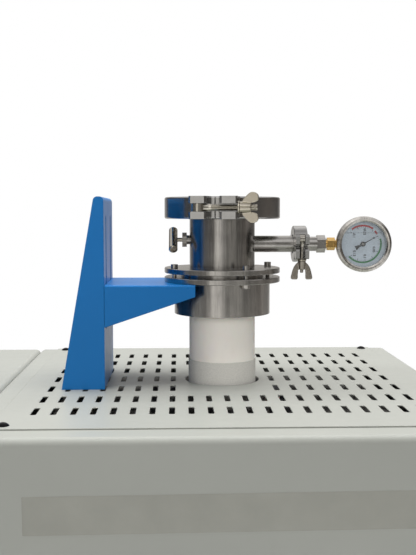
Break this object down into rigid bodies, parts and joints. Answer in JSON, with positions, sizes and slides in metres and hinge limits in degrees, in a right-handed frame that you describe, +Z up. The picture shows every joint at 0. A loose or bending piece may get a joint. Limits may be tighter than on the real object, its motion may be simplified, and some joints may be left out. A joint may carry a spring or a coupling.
{
  "type": "tube furnace",
  "caption": "Bench-top vertical tube furnace with perforated cover, post and arm, alumina work tube, flanged head, quick clamps, vent valve and vacuum gauge.",
  "frame": {"origin": "on the floor under the middle of the whole cabinet", "axes": "+Z up, -Y towards the operator's front panel, +X towards the gauge"},
  "size_m": [0.78, 0.5412, 0.866],
  "materials": {
    "grey_paint": "smooth powder coat",
    "blue_paint": "smooth powder coat",
    "zinc_steel": "zinc plated sheet",
    "stainless": "turned and brushed",
    "cast_steel": "satin cast",
    "bright_nickel": "bright nickel plate",
    "brass": "machined",
    "alumina": "unglazed",
    "fibre_white": "ceramic fibre",
    "element_grey": "silicide",
    "seal_rubber": "moulded",
    "foot_rubber": "moulded",
    "black_oxide": "black oxide",
    "window": "clear",
    "dial_white": "printed",
    "pointer_black": "matt",
    "black_plastic": "moulded",
    "key_plastic": "moulded",
    "red_plastic": "moulded",
    "core_steel": "varnished laminations",
    "fin_aluminium": "extruded"
  },
  "bodies": {
    "cabinet": {"base_plate": "zinc_steel", "rubber_feet": "foot_rubber", "furnace_front": "grey_paint", "furnace_rear": "grey_paint", "furnace_left": "grey_paint", "furnace_right": "grey_paint", "cover_ledge": "grey_paint", "top_cover": "grey_paint", "cover_screws": "black_oxide", "control_front": "grey_paint", "control_rear": "grey_paint", "control_side": "grey_paint", "control_lid": "grey_paint", "insulation_body": "fibre_white", "insulation_lid": "fibre_white", "heating_elements": "element_grey", "thermocouple": "alumina", "post": "blue_paint", "fan_housing": "black_plastic", "controller_case": "black_plastic", "switch_frame": "black_plastic", "transformer": "core_steel", "power_unit": "fin_aluminium", "cable_gland": "black_plastic"},
    "carriage": {"arm": "blue_paint", "arm_screws": "black_oxide", "work_tube": "alumina", "tube_sleeve": "fibre_white", "lower_flange": "stainless", "vacuum_seals": "seal_rubber", "upper_flange": "stainless", "flange_bolts": "stainless", "end_cap": "stainless", "cap_clamp_left": "cast_steel", "cap_clamp_right": "cast_steel", "clamp_pins": "stainless", "port_clamp_upper": "cast_steel", "port_clamp_lower": "cast_steel", "gauge_adapter": "stainless", "brass_connector": "brass", "gauge_case": "stainless", "gauge_bezel": "stainless", "gauge_glass": "window", "gauge_dial": "dial_white", "bourdon_tube": "brass", "valve_nut": "stainless"},
    "cap_bolt": {"cap_clamp_bolt": "bright_nickel"},
    "cap_washer": {"cap_clamp_washer": "bright_nickel"},
    "cap_nut": {"cap_clamp_wing_nut": "bright_nickel"},
    "port_bolt": {"port_clamp_bolt": "bright_nickel"},
    "port_washer": {"port_clamp_washer": "bright_nickel"},
    "port_nut": {"port_clamp_wing_nut": "bright_nickel"},
    "pointer": {"gauge_pointer": "pointer_black"},
    "valve": {"valve_spindle": "bright_nickel"},
    "fan": {"fan_impeller": "black_plastic"},
    "rocker": {"power_rocker": "red_plastic"},
    "key_1": {"controller_key_1": "key_plastic"},
    "key_2": {"controller_key_2": "key_plastic"},
    "key_3": {"controller_key_3": "key_plastic"},
    "key_4": {"controller_key_4": "key_plastic"}
  },
  "joints": [
    {"name": "head_height", "type": "slide", "parent": "cabinet", "child": "carriage", "axis": [0, 0, 1], "range_m": [-0.021, 0.087]},
    {"name": "cap_bolt_swing", "type": "hinge", "parent": "carriage", "child": "cap_bolt", "pos_m": [0.09871, -0.06591, 0.8487], "axis": [0, 0, -1], "range_deg": [0, 100]},
    {"name": "cap_washer_slide", "type": "slide", "parent": "cap_bolt", "child": "cap_washer", "axis": [0.9863, -0.165, 0], "range_m": [0, 0.0062]},
    {"name": "cap_nut_spin", "type": "hinge", "parent": "cap_washer", "child": "cap_nut", "pos_m": [0.14349, -0.0734, 0.8487], "axis": [0.9863, -0.165, 0], "range_deg": [0, 2160]},
    {"name": "port_bolt_swing", "type": "hinge", "parent": "carriage", "child": "port_bolt", "pos_m": [0.2238, -0.01579, 0.81207], "axis": [-1, 0, 0], "range_deg": [0, 100]},
    {"name": "port_washer_slide", "type": "slide", "parent": "port_bolt", "child": "port_washer", "axis": [0, 0.0958, -0.9954], "range_m": [0, 0.0042]},
    {"name": "port_nut_spin", "type": "hinge", "parent": "port_washer", "child": "port_nut", "pos_m": [0.2238, -0.01349, 0.78818], "axis": [0, 0.0958, -0.9954], "range_deg": [0, 1800]},
    {"name": "pointer_swing", "type": "hinge", "parent": "carriage", "child": "pointer", "pos_m": [0.3003, 0.012, 0.8052], "axis": [0, 1, 0], "range_deg": [-106, 164], "stiffness_Nm_per_rad": 0.004},
    {"name": "valve_spin", "type": "hinge", "parent": "carriage", "child": "valve", "pos_m": [0.0706, 0.012, 0.8104], "axis": [-1, 0, 0], "range_deg": [0, 1440]},
    {"name": "fan_spin", "type": "hinge", "parent": "cabinet", "child": "fan", "pos_m": [0.13, 0.2395, 0.33], "axis": [0, 1, 0], "continuous": true},
    {"name": "rocker_tilt", "type": "hinge", "parent": "cabinet", "child": "rocker", "pos_m": [-0.26, -0.255, 0.38], "axis": [-1, 0, 0], "range_deg": [0, 18]},
    {"name": "key_1_press", "type": "slide", "parent": "cabinet", "child": "key_1", "axis": [0, 1, 0], "range_m": [0, 0.0008], "stiffness_N_per_m": 2000},
    {"name": "key_2_press", "type": "slide", "parent": "cabinet", "child": "key_2", "axis": [0, 1, 0], "range_m": [0, 0.0008], "stiffness_N_per_m": 2000},
    {"name": "key_3_press", "type": "slide", "parent": "cabinet", "child": "key_3", "axis": [0, 1, 0], "range_m": [0, 0.0008], "stiffness_N_per_m": 2000},
    {"name": "key_4_press", "type": "slide", "parent": "cabinet", "child": "key_4", "axis": [0, 1, 0], "range_m": [0, 0.0008], "stiffness_N_per_m": 2000}
  ],
  "couplings": [
    {"joint": "cap_washer_slide", "follows": "cap_nut_spin", "m_per_rad": 0.00015915},
    {"joint": "port_washer_slide", "follows": "port_nut_spin", "m_per_rad": 0.00012732}
  ]
}
